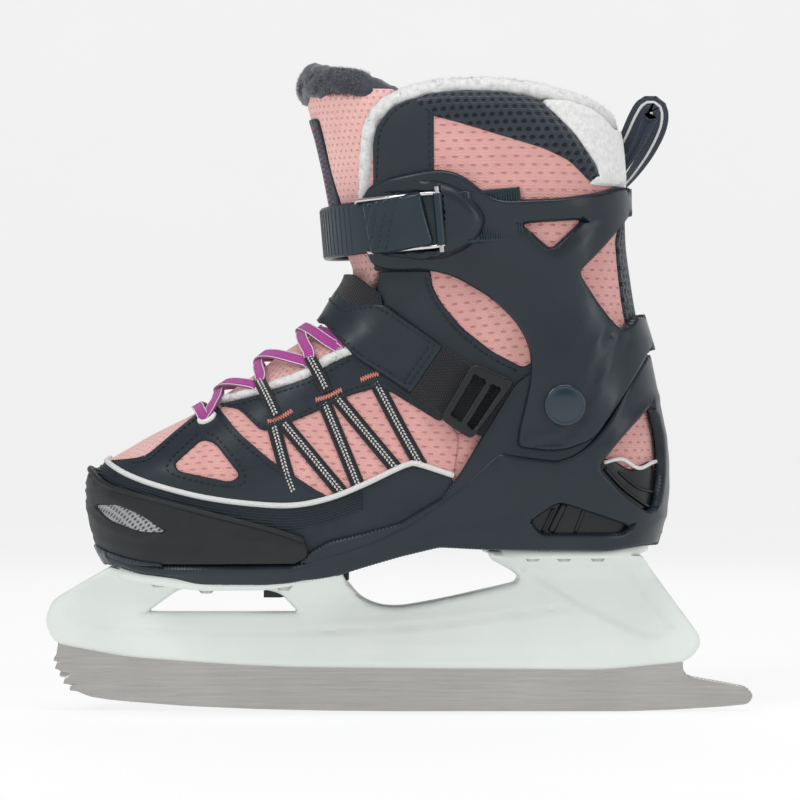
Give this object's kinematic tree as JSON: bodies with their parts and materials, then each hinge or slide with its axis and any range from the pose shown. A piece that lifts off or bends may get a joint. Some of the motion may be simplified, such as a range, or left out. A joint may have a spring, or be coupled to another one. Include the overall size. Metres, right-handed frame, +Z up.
{
  "type": "ice skates",
  "caption": "Size-adjustable ice skate with a hinged cuff, sliding toe section, ratchet buckle, laced padded boot and a toothed steel blade in a moulded holder.",
  "frame": {"origin": "on the ice, under the middle of the blade, at the middle of the overall box", "axes": "+X towards the heel, toe towards -X; +Y towards the side without the buckle; +Z up"},
  "size_m": [0.297, 0.1024, 0.271],
  "materials": {
    "steel_blade": "brushed along the blade",
    "holder_nylon": "satin off-white",
    "screw_steel": "satin",
    "navy_shell": "satin dark navy",
    "toe_black": "matt charcoal",
    "sole_black": "matt",
    "insole": "felt",
    "pink_mesh": "air mesh with small dimples",
    "collar_fabric": "padded honeycomb mesh and synthetic leather",
    "tongue_plush": "plush",
    "navy_leather": "smooth synthetic leather",
    "webbing": "woven webbing",
    "lace_magenta": "flat woven lace",
    "eyelet_white": "gloss white",
    "rivet_cap": "gloss dark blue",
    "buckle_black": "satin",
    "chrome_wire": "polished",
    "grey_mesh": "open grey mesh"
  },
  "bodies": {
    "boot": {"blade": "steel_blade", "blade_holder": "holder_nylon", "front_screws": "screw_steel", "rear_screws": "screw_steel", "rear_shell": "navy_shell", "footbed": "insole", "heel_liner": "pink_mesh", "pivot_rivets": "rivet_cap", "instep_strap": "navy_leather", "strap_rings": "buckle_black", "ring_webbing": "webbing", "lock_pin": "screw_steel"},
    "toe": {"toe_shell": "toe_black", "toe_vents": "grey_mesh", "toe_slider": "sole_black", "vamp": "pink_mesh", "lace": "lace_magenta", "front_eyelets": "eyelet_white", "lace_loops": "webbing", "side_webbing": "webbing"},
    "cuff": {"cuff_shell": "navy_shell", "collar": "collar_fabric", "tongue": "tongue_plush", "pull_loop": "webbing", "buckle_base": "buckle_black", "buckle_pin": "screw_steel", "ladder_strap": "buckle_black", "strap_screw": "screw_steel"},
    "lever": {"buckle_lever": "buckle_black", "buckle_wires": "chrome_wire"},
    "lock": {"lock_lever": "buckle_black"}
  },
  "joints": [
    {"name": "toe_size", "type": "slide", "parent": "boot", "child": "toe", "axis": [-1, 0, 0], "range_m": [0, 0.02]},
    {"name": "cuff_flex", "type": "hinge", "parent": "boot", "child": "cuff", "pos_m": [0.0675, 0, 0.1285], "axis": [0, -1, 0], "range_deg": [0, 4]},
    {"name": "buckle_open", "type": "hinge", "parent": "cuff", "child": "lever", "pos_m": [0.01599, -0.0493, 0.20417], "axis": [-0.0872, 0, 0.9962], "range_deg": [0, 95]},
    {"name": "size_lock", "type": "hinge", "parent": "boot", "child": "lock", "pos_m": [-0.038, 0, 0.0536], "axis": [0, 1, 0], "range_deg": [0, 6], "stiffness_Nm_per_rad": 0.3}
  ]
}
